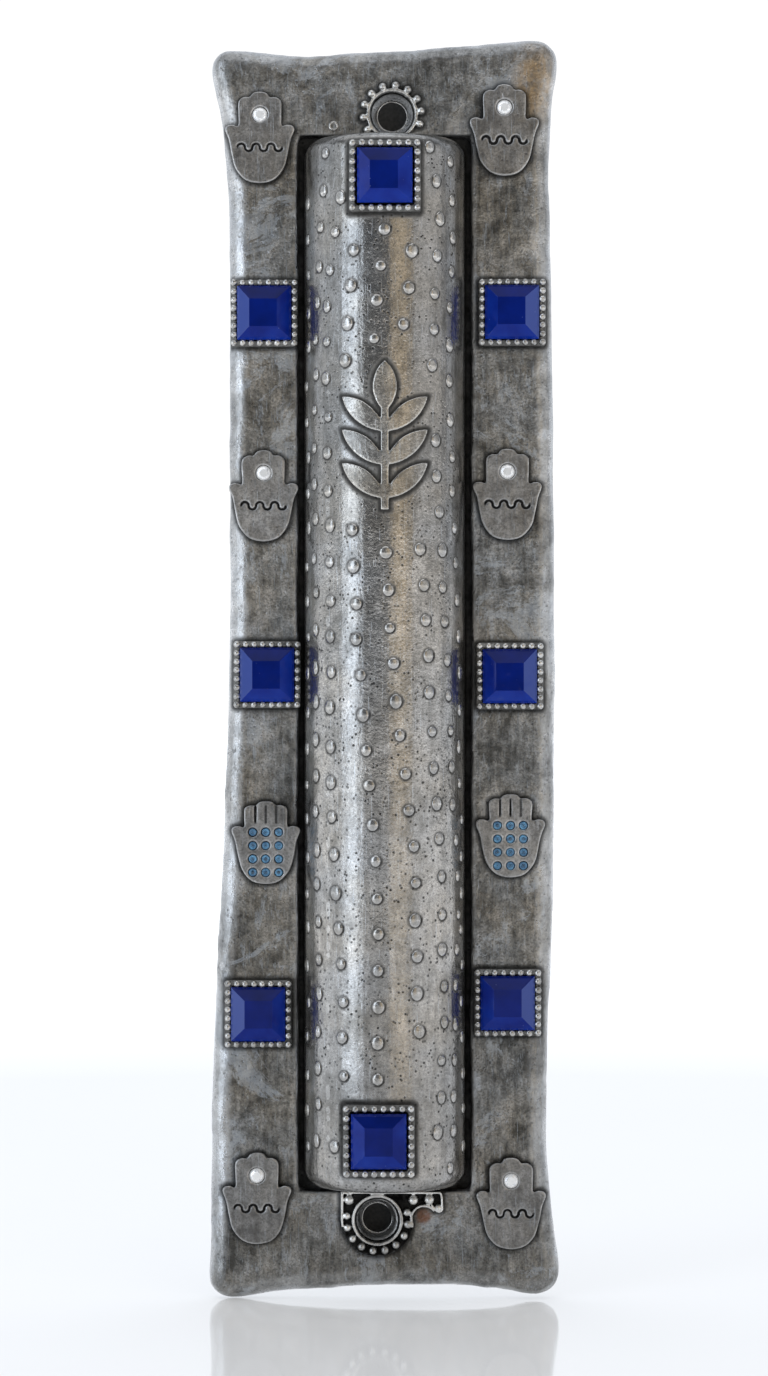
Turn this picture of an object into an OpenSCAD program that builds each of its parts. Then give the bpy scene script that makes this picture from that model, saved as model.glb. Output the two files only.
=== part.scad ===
// Mezuzah case: a cast pewter plate whose half-round cover holds the scroll, closed behind by a sliding door.
// World frame: X across, Z up the doorpost, -Y out of the wall. The origin is the middle of the wall face.
// Flat work is drawn face on: x across, y up, z out from the wall. facing() stands it up.

/* [Plate] */
// Thickness of the plate
plate_t = 4; // [3.8:0.1:5]
// Radius of the screw holes
screw_r = 2; // [1.5:0.1:2.2]
// Height of each screw hole above or below the middle
screw_z = 74.4; // [74:0.1:75.5]
// How far each screw hole stands off the centreline
screw_x = 1; // [0:0.1:1.5]

/* [Cover] */
// Outer radius of the half-round cover
cover_r = 10.8; // [10:0.1:10.9]
// Wall thickness of the cover
cover_wall = 1; // [0.8:0.1:1.4]
// Rounding of the cover's ends
cover_round = 2.2; // [1.5:0.1:3]
// Top end of the cover
cover_top = 70.8; // [69:0.1:70.9]
// Bottom end of the cover
cover_bottom = -69.7; // [-69.9:0.1:-68]

/* [Door] */
// Thickness of the sliding door
door_t = 0.6; // [0.5:0.05:0.7]
// Free play of the door in its guides
slide_gap = 0.1; // [0.08:0.01:0.15]

/* [Stones] */
// Width of a square stone
stone_w = 7.4; // [7.2:0.1:7.4]
// Width of a stone setting on the plate
side_setting_w = 9.1; // [9:0.1:9.4]
// Width of a stone setting on the cover
cover_setting_w = 9.5; // [9.2:0.1:10]

/* [Charms] */
// Thickness of a hand charm
charm_t = 1; // [0.9:0.1:1.4]
// Radius of a round crystal
crystal_r = 1.05; // [0.8:0.05:1.2]
// Outer radius of an enamel ring
enamel_r = 0.6; // [0.5:0.05:0.65]

/* [Hidden] */
$fn = 48;

// Levels above the wall, from the guide rails inwards.
rail_back = 0.05;
rail_lip_t = 0.5;
door_level = rail_back + rail_lip_t + slide_gap;
flange_level = door_level + door_t + slide_gap;
flange_t = 0.8;
pocket_t = flange_level + flange_t;
crest_level = plate_t + cover_r;
solder_gap = 0.02;
cut = 1;

// The window and the pocket behind it.
window_gap = 0.8;
window_x = cover_r + window_gap;
window_top = 71.3;
window_bottom = -70.4;
window_h = window_top - window_bottom;
window_mid = (window_top + window_bottom) / 2;
pocket_x = 15;
pocket_margin = 0.6;
pocket_h = window_h + 2 * pocket_margin;
rail_leg_x = 12.9;
rail_side_gap = 0.1;
rail_lip_x = 11.4;
rail_end_gap = 0.2;
door_side_gap = 0.2;
door_end_gap = 0.15;

// The plate's edge: how far the flat front is drawn in, and below it each step's level as a share
// of the thickness, and how far that is drawn in.
edge_in = 1.9;
edge_steps = [[0, 0.9], [0.12, 0.3], [0.35, 0], [0.65, 0.2], [0.86, 0.8]];
// The plate's outline, clockwise from the bottom left ear. It is hand worked, so no side is straight.
outline_knots = [
    [-23.8, -81.6], [-23.5, -76.5], [-23.4, -64], [-22.9, -45], [-21.8, -22], [-21, 4], [-21, 34],
    [-21, 58], [-21.7, 71], [-22.8, 77.2], [-23.4, 80], [-23.2, 82], [-21.9, 83.3], [-19.8, 83.5],
    [-15.5, 83], [-11, 82.7], [0, 83.4], [10, 84], [16.4, 84.6], [19.8, 84.9], [21.9, 84.4],
    [23.1, 82.8], [23.3, 80.4], [22.6, 75.5], [22.2, 65], [22.7, 46], [22.9, 15], [23, -20],
    [22.6, -39], [21.9, -53], [22, -66], [23, -77], [23.5, -80.9], [23.3, -83.1], [21.9, -84.5],
    [19.6, -84.8], [15, -83.9], [6, -83.6], [-6, -83.8], [-14, -84.4], [-19.6, -85.3],
    [-22.1, -85], [-23.5, -83.7]
];
knot_steps = 3;

// The guide rails' rivets.
rivet_r = 0.6;
rivet_head_r = 0.9;
rivet_head_t = 0.35;
rivet_depth = 1.2;
rivet_x = 13.9;
rivet_z = [-60, -20, 20, 60];

// The beaded collars round the screw holes. The lower one also has a floor, a rim and a tail.
collar_t = 0.9;
collar_wall_r = 3.45;
collar_floor_t = 0.35;
collar_rim_r = 4.9;
collar_rim_w = 0.3;
collar_trim = 3.85;
collar_bead_r = 0.55;
// Rings of beads: [distance out, beads in a whole ring, first bead's angle, first, last].
collar_ring_top = [3.9, 14, 160.6, -7, 2];
collar_ring_bottom = [4.15, 16, 172, 0, 9];
// Single beads beside the lower ring: [x, y, radius].
collar_strays = [[-3.8, 2.75, 0.68], [4.85, 2.7, 0.68], [7, 2.8, 0.68], [8.2, 1.65, 0.5]];
cone_slope = 0.4;

// The thumb ridges on the door.
ridge_w = 8;
ridge_t = 0.4;
ridge_depth = 0.7;
ridge_pitch = 1.6;
ridge_z = 64;
ridge_count = 3;

// Stone settings: [x, z], on the plate's left and right rails and on the cover's crest.
settings = [
    ["left_upper", -16.2, 47.6], ["left_middle", -15.8, -1], ["left_lower", -17, -46.6],
    ["right_upper", 17.1, 47.7], ["right_middle", 16.8, -1.2], ["right_lower", 16.5, -45.1],
    ["cover_top", 0, 64.6], ["cover_bottom", -0.8, -62.4]
];
first_cover_setting = 6;
setting_base_t = 0.8;
setting_foot = -1.6;
setting_wall_t = 1.7;
setting_corner = 0.4;
stone_play = 0.1;
beads_per_side = 8;
bead_r = 0.4;
bead_inset = 0.4;
// A stone's steps: [half width, level above the setting's foot], from its back to its table.
stone_steps = [
    [0.58, 0.8], [1, 1.35], [1, 1.7], [0.86, 2.15], [0.46, 2.9]
];

// Hand charms: [name, x, z, dotted], placed by the middle of the crystal or of the finger block.
charms = [
    ["left_1", -16.8, 74.3, false], ["left_2", -16.3, 26.1, false],
    ["left_3", -16, -20, true], ["left_4", -17.2, -68.4, false],
    ["right_1", 16.1, 75.3, false], ["right_2", 16.5, 26.3, false],
    ["right_3", 16.9, -19.1, true], ["right_4", 17, -69.1, false]
];
crystal_charms = [0, 1, 3, 4, 5, 7];
dotted_charms = [2, 6];
// Right half of a charm, from the middle finger round to the wrist.
charm_knots = [
    [0, 3.1], [0.9, 2.9], [1.35, 2.35], [2.1, 2.35], [2.85, 1.8], [2.9, 0.3], [2.9, -1.5], [3.6, -1.35],
    [4.4, -1.5], [4.65, -2.1], [4.15, -3.4], [3.75, -5.4], [3.2, -7.3], [1.9, -8.75], [0, -9.2]
];
dotted_drop = 1.1;
finger_foot = -1.4;
crystal_seat = 0.35;
crystal_girdle = 0.45;
crystal_crown = 0.35;
wave_r = 0.5;
wave_line = 0.3;
wave_y = -4.4;
wave_arches = 6;
wave_depth = 0.35;
dot_pitch_x = 1.75;
dot_pitch_y = 1.8;
dot_top = -2.2;
dot_depth = 0.4;
enamel_t = 0.3;
enamel_eye = 0.28;
groove_w = 0.25;
groove_h = 2.2;
groove_pitch = 1.4;
groove_y = 0.2;

// The sprig on the cover: a stem with pairs of leaves up it and one leaf at its tip.
sprig_t = 0.5;
sprig_foot = 20.7;
sprig_stem_w = 1;
leaf_size = [7.4, 2.6];
leaf_angle = 50;
leaf_foot = [22.2, 26.6, 31];
tip_leaf_size = [6.8, 3.2];
tip_leaf_foot = 33.6;
ornament_middle = 30;

// Turns face-on work to stand against the wall.
module facing() {
    rotate([90, 0, 0]) children();
}

// A point on a closed Catmull-Rom curve through the knots, a share t of the way from knot i to the next.
function closed_curve(k, i, t) =
    let (n = len(k), a = k[(i + n - 1) % n], b = k[i], c = k[(i + 1) % n], d = k[(i + 2) % n])
    0.5 * (2 * b + (c - a) * t + (2 * a - 5 * b + 4 * c - d) * t * t + (3 * b - a - 3 * c + d) * t * t * t);
function smooth(k, steps) =
    [for (i = [0 : len(k) - 1], s = [0 : steps - 1]) closed_curve(k, i, s / steps)];

// The outline drawn in by d, each point along its own inward normal.
function drawn_in(p, d) =
    let (n = len(p))
    [for (i = [0 : n - 1])
        let (t = p[(i + 1) % n] - p[(i + n - 1) % n])
        p[i] + d * [t[1], -t[0]] / norm(t)];

// Half width of the screw hole's countersink at a level.
function cone_r(level) = screw_r + (level - pocket_t) * cone_slope;

module rounded_square(x, y, r) {
    square([2 * x, 2 * (y - r)], center = true);
    square([2 * (x - r), 2 * y], center = true);
    for (sx = [-1, 1], sy = [-1, 1])
        translate([sx * (x - r), sy * (y - r)]) circle(r);
}

module slab(low, high) {
    translate([0, 0, low]) linear_extrude(high - low) children();
}

// The plate's body: a straight core, and a rounded rim that runs round it. The rim is a ring of
// outlines, drawn in by the steps on its outside and then back to the core.
module plate_body() {
    outline = smooth(outline_knots, knot_steps);
    core = drawn_in(outline, edge_in);
    n = len(outline);
    rings = concat(edge_steps, [[1, edge_in], [0, edge_in]]);
    m = len(rings);
    slab(0, plate_t) polygon(core);
    polyhedron(
        [for (e = rings, p = drawn_in(outline, e[1])) [p[0], p[1], e[0] * plate_t]],
        [
            for (r = [0 : m - 1], i = [0 : n - 1])
            let (a = r * n, b = (r + 1) % m * n, j = (i + 1) % n)
            each [[a + i, b + j, b + i], [a + i, a + j, b + j]]
        ]
    );
}

module screw_hole() {
    translate([0, 0, -cut]) cylinder(r = screw_r, h = plate_t + 2 * cut);
    translate([0, 0, pocket_t])
        cylinder(r1 = screw_r, r2 = cone_r(plate_t + cut), h = plate_t + cut - pocket_t);
}

module at_rivets() {
    for (side = [-1, 1], z = rivet_z)
        translate([side * rivet_x, z]) children();
}

module back_plate() {
    color("#6e6a63") facing() difference() {
        plate_body();
        translate([0, window_mid]) slab(-cut, plate_t + cut) rounded_square(window_x, window_h / 2, 0.8);
        translate([0, window_mid]) slab(-cut, pocket_t) square([2 * pocket_x, pocket_h], center = true);
        translate([-rail_leg_x, window_top - cut, -cut]) cube([2 * rail_leg_x, 20, flange_level + cut]);
        for (side = [-1, 1]) translate([side * screw_x, side * screw_z]) screw_hole();
        at_rivets() translate([0, 0, pocket_t - cut]) cylinder(r = rivet_r, h = rivet_depth + cut);
    }
}

// Half a section of the cover along its length, as far from the axis as r, drawn in by d at its ends.
module cover_profile(r, d) {
    mid = (cover_top + cover_bottom) / 2;
    translate([0, mid]) rounded_square(r, (cover_top - cover_bottom) / 2 - d, cover_round - d);
}

// The cover's solid form: a half turn about its long axis, on straight legs that reach down to a level.
module cover_form(r, d, foot) {
    translate([0, -plate_t, 0]) rotate([0, 0, 180]) rotate_extrude(angle = 180) intersection() {
        cover_profile(r, d);
        translate([0, cover_bottom - cut]) square([r + cut, cover_top - cover_bottom + 2 * cut]);
    }
    facing() slab(foot, plate_t) cover_profile(r, d);
}

module cover_shell() {
    inner_x = cover_r - cover_wall;
    color("#8b8a88") difference() {
        union() {
            cover_form(cover_r, 0, flange_level);
            facing() translate([0, window_mid]) slab(flange_level, pocket_t)
                square([2 * (pocket_x - rail_side_gap), pocket_h - 2 * rail_end_gap], center = true);
        }
        cover_form(inner_x, cover_wall, flange_level - cut);
        facing() at_rivets() translate([0, 0, flange_level - cut])
            cylinder(r = rivet_r, h = flange_t + 2 * cut);
    }
}

// A pointed leaf with its foot at the origin: where two circles overlap.
module leaf(size) {
    r = (size[0] * size[0] + size[1] * size[1]) / (4 * size[1]);
    translate([0, size[0] / 2]) intersection_for(side = [-1, 1])
        translate([side * (r - size[1] / 2), 0]) circle(r, $fn = 96);
}

module sprig_outline() {
    translate([-sprig_stem_w / 2, sprig_foot]) square([sprig_stem_w, tip_leaf_foot + 1 - sprig_foot]);
    for (y = leaf_foot, side = [-1, 1]) translate([0, y]) rotate([0, 0, -side * leaf_angle]) leaf(leaf_size);
    translate([0, tip_leaf_foot]) leaf(tip_leaf_size);
}

module cover_ornament() {
    color("#9a958c") intersection() {
        facing() slab(crest_level - 3, crest_level + cut) sprig_outline();
        translate([0, -plate_t, ornament_middle]) difference() {
            cylinder(r = cover_r + sprig_t, h = 24, center = true);
            cylinder(r = cover_r + solder_gap, h = 26, center = true);
        }
    }
}

// A guide rail: its leg stands on the cover's flange, and its lip keeps the door in.
module guide_rail(side) {
    rail_h = pocket_h - 2 * rail_end_gap;
    leg_w = pocket_x - rail_side_gap - rail_leg_x;
    lip_w = pocket_x - rail_side_gap - rail_lip_x;
    color("#7d7f80") facing() difference() {
        translate([0, window_mid]) union() {
            slab(rail_back, flange_level)
                translate([side * (rail_leg_x + leg_w / 2), 0]) square([leg_w, rail_h], center = true);
            slab(rail_back, rail_back + rail_lip_t)
                translate([side * (rail_lip_x + lip_w / 2), 0]) square([lip_w, rail_h], center = true);
        }
        for (z = rivet_z) translate([side * rivet_x, z]) {
            translate([0, 0, -cut]) cylinder(r = rivet_r, h = flange_level + 2 * cut);
            translate([0, 0, -cut]) cylinder(r = rivet_head_r, h = cut + rail_back + rivet_head_t);
        }
    }
}

module rail_rivets() {
    color("#a08a5a") facing() at_rivets() {
        translate([0, 0, rail_back]) cylinder(r = rivet_head_r, h = rivet_head_t);
        translate([0, 0, rail_back]) cylinder(r = rivet_r, h = pocket_t + rivet_depth - rail_back);
    }
}

// The door slides up out of the rails. Thumb ridges near its top give a grip.
module back_door() {
    color("#8f9496") facing() {
        slab(door_level, door_level + door_t)
            translate([-rail_leg_x + door_side_gap, window_mid - pocket_h / 2 + door_end_gap])
            square([2 * (rail_leg_x - door_side_gap), pocket_h - 2 * door_end_gap]);
        for (i = [0 : ridge_count - 1])
            translate([-ridge_w / 2, ridge_z + i * ridge_pitch, door_level - ridge_t])
            cube([ridge_w, ridge_depth, ridge_t + door_t / 2]);
    }
}

module collar_wall() {
    difference() {
        union() {
            cylinder(r = collar_wall_r, h = collar_t);
            children();
        }
        translate([0, 0, -cut]) cylinder(r1 = cone_r(plate_t - cut), r2 = cone_r(plate_t + collar_t + cut),
            h = collar_t + 2 * cut);
    }
}

// Beads round a collar, on the side away from the cover.
module collar_bead_ring(ring) {
    for (i = [ring[3] : ring[4]])
        rotate([0, 0, ring[2] + i * 360 / ring[1]]) translate([ring[0], 0, collar_bead_r])
            sphere(collar_bead_r);
}

// The lower collar's outline: flat where it meets the window, with a curled tail on its right.
module collar_outline() {
    intersection() {
        difference() {
            union() {
                circle(collar_rim_r);
                translate([-collar_rim_r, 0]) square([collar_rim_r, collar_rim_r]);
                translate([0, 0.3]) square([7.6, collar_rim_r]);
                hull() {
                    translate([7.6, 3.1]) circle(1.2);
                    translate([8.3, 1.6]) circle(0.6);
                }
            }
            translate([6.3, 0.2]) circle(1.6);
        }
        translate([-10, -10]) square([20, 10 + collar_trim]);
    }
}

module screw_collar_top() {
    color("#8d8a84") facing() translate([0, 0, plate_t]) collar_wall() collar_bead_ring(collar_ring_top);
}

module screw_collar_bottom() {
    color("#8d8a84") facing() translate([0, 0, plate_t]) collar_wall() {
        slab(0, collar_floor_t) collar_outline();
        slab(0, collar_t) difference() {
            collar_outline();
            offset(delta = -collar_rim_w) collar_outline();
            translate([-10, -10.9]) square([20, 10]);
        }
        collar_bead_ring(collar_ring_bottom);
        for (bead = collar_strays) translate([bead[0], bead[1], bead[2]]) sphere(bead[2]);
    }
}

// A square cup with a beaded edge. On the cover its foot is cut to sit astride the curve, whose axis
// lies axis_x to one side of the cup's middle.
module setting(w, astride, axis_x) {
    half = w / 2;
    seat = stone_w / 2 + stone_play;
    foot = astride ? setting_foot : 0;
    color("#7b7873") facing() difference() {
        union() {
            slab(foot, setting_base_t) rounded_square(half, half, setting_corner);
            slab(0, setting_wall_t) difference() {
                rounded_square(half - 0.1, half - 0.1, setting_corner);
                square(2 * seat, center = true);
            }
            for (i = [0 : beads_per_side - 2], turn = [0 : 3]) rotate([0, 0, 90 * turn])
                translate([half - bead_inset, (i / (beads_per_side - 1) - 0.5) * 2 * (half - bead_inset)]) {
                    cylinder(r = bead_r, h = setting_wall_t);
                    translate([0, 0, setting_wall_t]) sphere(bead_r);
                }
        }
        if (astride) translate([axis_x, 0, -cover_r]) rotate([90, 0, 0])
            cylinder(r = cover_r + solder_gap, h = 2 * w, center = true);
    }
}

// A step-cut square stone, built ring by ring.
module stone() {
    corners = [[1, 1], [-1, 1], [-1, -1], [1, -1]];
    n = len(stone_steps);
    points = [for (s = stone_steps, c = corners) [c[0] * s[0] * stone_w / 2, c[1] * s[0] * stone_w / 2, s[1]]];
    walls = [for (r = [0 : n - 2], i = [0 : 3]) let (a = 4 * r + i, b = 4 * r + (i + 1) % 4) [a, a + 4, b + 4, b]];
    color("#1c2fa8") facing() translate([0, 0, 0.02])
        polyhedron(points, concat(walls, [[0, 1, 2, 3], [for (i = [3 : -1 : 0]) 4 * (n - 1) + i]]));
}

// Stands a piece on the plate's rail or on the cover's crest.
module at_setting(i) {
    level = i < first_cover_setting ? plate_t : crest_level;
    translate([settings[i][1], -level, settings[i][2]]) children();
}

// A charm's outline: the half knots and their mirror. A dotted charm has shorter fingers.
module charm_outline(dotted) {
    drop = dotted ? dotted_drop : 0;
    half = [for (p = charm_knots) p[1] > finger_foot ? [p[0], p[1] - drop * (p[1] - finger_foot) / 4.5] : p];
    n = len(half);
    polygon(smooth(concat(half, [for (i = [n - 2 : -1 : 1]) [-half[i][0], half[i][1]]]), knot_steps));
}

// An engraved wave of half rings that turn up and down by turns.
module wave_line() {
    for (i = [0 : wave_arches - 1]) translate([(i - (wave_arches - 1) / 2) * 2 * wave_r, wave_y])
        rotate([0, 0, i % 2 * 180]) difference() {
            circle(wave_r + wave_line / 2);
            circle(wave_r - wave_line / 2);
            translate([-2, -4]) square(4);
        }
}

module at_dots() {
    for (col = [-1 : 1], row = [0 : 3])
        translate([col * dot_pitch_x, dot_top - row * dot_pitch_y, charm_t - dot_depth]) children();
}

module charm(dotted) {
    color("#6f6e6b") facing() difference() {
        slab(0, charm_t) charm_outline(dotted);
        if (dotted) {
            at_dots() cylinder(r = enamel_r + solder_gap, h = dot_depth + cut);
            for (col = [-1 : 1]) translate([col * groove_pitch - groove_w / 2, groove_y - groove_h / 2,
                charm_t - wave_depth]) cube([groove_w, groove_h, wave_depth + cut]);
        } else {
            translate([0, 0, crystal_seat]) cylinder(r = crystal_r + stone_play / 2, h = charm_t);
            slab(charm_t - wave_depth, charm_t + cut) wave_line();
        }
    }
}

module crystal() {
    color("#f2f4f5") facing() translate([0, 0, crystal_seat]) {
        cylinder(r = crystal_r, h = crystal_girdle);
        translate([0, 0, crystal_girdle]) cylinder(r1 = crystal_r, r2 = crystal_r * 0.55, h = crystal_crown);
    }
}

module enamel_rings() {
    color("#2f6f9f") facing() at_dots() difference() {
        cylinder(r = enamel_r, h = enamel_t);
        translate([0, 0, -cut]) cylinder(r = enamel_eye, h = enamel_t + 2 * cut);
    }
}

module at_charm(i) {
    translate([charms[i][1], -plate_t, charms[i][2]]) children();
}

back_plate();
cover_shell();
cover_ornament();
guide_rail(-1);  // guide_rail_left
guide_rail(1);  // guide_rail_right
rail_rivets();
back_door();
translate([screw_x, 0, screw_z]) screw_collar_top();
translate([-screw_x, 0, -screw_z]) screw_collar_bottom();
for (i = [0 : len(settings) - 1]) {
    astride = i >= first_cover_setting;
    at_setting(i) setting(astride ? cover_setting_w : side_setting_w, astride, -settings[i][1]);
    at_setting(i) stone();
}
for (i = [0 : len(charms) - 1])
    at_charm(i) charm(charms[i][3]);
for (i = crystal_charms)
    at_charm(i) crystal();
for (i = dotted_charms)
    at_charm(i) enamel_rings();
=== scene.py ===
import functools
import math
import random

import bmesh
import bpy
from mathutils import Matrix, Vector, noise
from mathutils.kdtree import KDTree


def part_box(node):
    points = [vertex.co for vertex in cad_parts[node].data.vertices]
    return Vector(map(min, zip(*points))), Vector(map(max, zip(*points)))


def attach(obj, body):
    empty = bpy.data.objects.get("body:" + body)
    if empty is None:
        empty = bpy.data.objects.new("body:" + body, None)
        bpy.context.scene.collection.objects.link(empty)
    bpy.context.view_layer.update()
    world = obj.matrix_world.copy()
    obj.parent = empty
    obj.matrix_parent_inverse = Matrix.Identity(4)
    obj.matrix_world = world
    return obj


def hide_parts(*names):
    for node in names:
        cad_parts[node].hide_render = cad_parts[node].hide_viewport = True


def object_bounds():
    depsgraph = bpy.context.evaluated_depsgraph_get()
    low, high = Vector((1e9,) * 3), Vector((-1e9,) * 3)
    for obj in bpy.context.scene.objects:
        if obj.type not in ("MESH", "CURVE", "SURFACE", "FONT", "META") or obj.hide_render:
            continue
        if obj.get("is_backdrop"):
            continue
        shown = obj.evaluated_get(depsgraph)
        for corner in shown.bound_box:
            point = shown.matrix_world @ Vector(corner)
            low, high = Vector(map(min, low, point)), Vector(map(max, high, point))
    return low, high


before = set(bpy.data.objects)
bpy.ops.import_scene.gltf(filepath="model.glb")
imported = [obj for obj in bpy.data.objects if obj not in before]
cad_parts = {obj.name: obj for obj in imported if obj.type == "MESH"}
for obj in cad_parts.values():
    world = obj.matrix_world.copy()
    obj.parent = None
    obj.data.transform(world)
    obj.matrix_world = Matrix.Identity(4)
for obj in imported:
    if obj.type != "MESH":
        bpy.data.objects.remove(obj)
cad_low, cad_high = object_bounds()

MM = 0.001
SIDES = ["left_upper", "left_middle", "left_lower", "right_upper", "right_middle", "right_lower"]
CRESTS = ["cover_top", "cover_bottom"]
PLAIN_CHARMS = ["left_1", "left_2", "left_4", "right_1", "right_2", "right_4"]
DOTTED_CHARMS = ["left_3", "right_3"]

# The remesh's voxel for each kind of casting, in millimetres.
VOXEL = {"plate": 0.34, "cover": 0.24, "sprig": 0.12, "collar": 0.1, "charm": 0.12}


@functools.lru_cache(maxsize=None)
def corners(node):
    """A node's lowest and highest corners. They are kept, because finding them walks the whole mesh."""
    low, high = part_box(node)
    return Vector(low), Vector(high)


def middle(node):
    low, high = corners(node)
    return (low + high) / 2


def smoothstep(low, high, value):
    t = min(max((value - low) / (high - low), 0), 1)
    return t * t * (3 - 2 * t)


# ---------------------------------------------------------------- materials


class Look:
    """A material, built up from a Principled shader. Sizes of its textures are in millimetres."""

    def __init__(self, name):
        self.material = bpy.data.materials.new(name)
        self.material.use_nodes = True
        self.tree = self.material.node_tree
        self.tree.nodes.clear()
        self.bsdf = self.add("ShaderNodeBsdfPrincipled")
        output = self.add("ShaderNodeOutputMaterial")
        self.link(self.bsdf.outputs["BSDF"], output.inputs["Surface"])
        self.place = self.add("ShaderNodeTexCoord").outputs["Object"]
        self.point = self.add("ShaderNodeNewGeometry").outputs["Pointiness"]

    def add(self, kind, **settings):
        made = self.tree.nodes.new(kind)
        for key, value in settings.items():
            setattr(made, key, value)
        return made

    def link(self, source, target):
        self.tree.links.new(source, target)

    def feed(self, value, target):
        if isinstance(value, bpy.types.NodeSocket):
            self.link(value, target)
        elif isinstance(value, tuple) and len(value) == 3 and target.type == "RGBA":
            target.default_value = (*value, 1)
        else:
            target.default_value = value

    def mapped(self, size, stretch=(1, 1, 1), turn=(0, 0, 0)):
        made = self.add("ShaderNodeMapping")
        self.link(self.place, made.inputs["Vector"])
        made.inputs["Rotation"].default_value = [math.radians(a) for a in turn]
        made.inputs["Scale"].default_value = [1 / (size * s * MM) for s in stretch]
        return made.outputs["Vector"]

    def noise(self, size, detail=4, rough=0.55, stretch=(1, 1, 1), turn=(0, 0, 0), distortion=0):
        made = self.add("ShaderNodeTexNoise")
        self.link(self.mapped(size, stretch, turn), made.inputs["Vector"])
        made.inputs["Scale"].default_value = 1
        made.inputs["Detail"].default_value = detail
        made.inputs["Roughness"].default_value = rough
        made.inputs["Distortion"].default_value = distortion
        return made.outputs["Fac"]

    def cells(self, size):
        made = self.add("ShaderNodeTexVoronoi", feature="F1")
        self.link(self.mapped(size), made.inputs["Vector"])
        made.inputs["Scale"].default_value = 1
        return made.outputs["Distance"]

    def ramp(self, value, *stops):
        made = self.add("ShaderNodeValToRGB")
        self.feed(value, made.inputs["Fac"])
        points = made.color_ramp.elements
        while len(points) < len(stops):
            points.new(0.5)
        for point, (place, colour) in zip(points, stops):
            point.position = place
            point.color = (*colour, 1) if isinstance(colour, tuple) else (colour, colour, colour, 1)
        return made.outputs["Color"]

    def mix(self, share, first, second, blend="MIX"):
        made = self.add("ShaderNodeMix", data_type="RGBA", blend_type=blend)
        self.feed(share, made.inputs[0])
        self.feed(first, made.inputs[6])
        self.feed(second, made.inputs[7])
        return made.outputs[2]

    def maths(self, operation, first, second=0.0, clamp=False):
        made = self.add("ShaderNodeMath", operation=operation, use_clamp=clamp)
        self.feed(first, made.inputs[0])
        self.feed(second, made.inputs[1])
        return made.outputs[0]

    def attribute(self, name):
        return self.add("ShaderNodeAttribute", attribute_name=name).outputs["Fac"]

    def bump(self, height, depth, below=None):
        """Bumps of that depth in millimetres. below is the normal they are laid on."""
        made = self.add("ShaderNodeBump")
        made.inputs["Strength"].default_value = 1
        made.inputs["Distance"].default_value = depth * MM
        self.link(height, made.inputs["Height"])
        if below:
            self.link(below, made.inputs["Normal"])
        return made.outputs["Normal"]

    def shade(self, **values):
        for key, value in values.items():
            self.feed(value, self.bsdf.inputs[key.replace("_", " ").title().replace("Ior", "IOR")])
        return self.material


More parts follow.
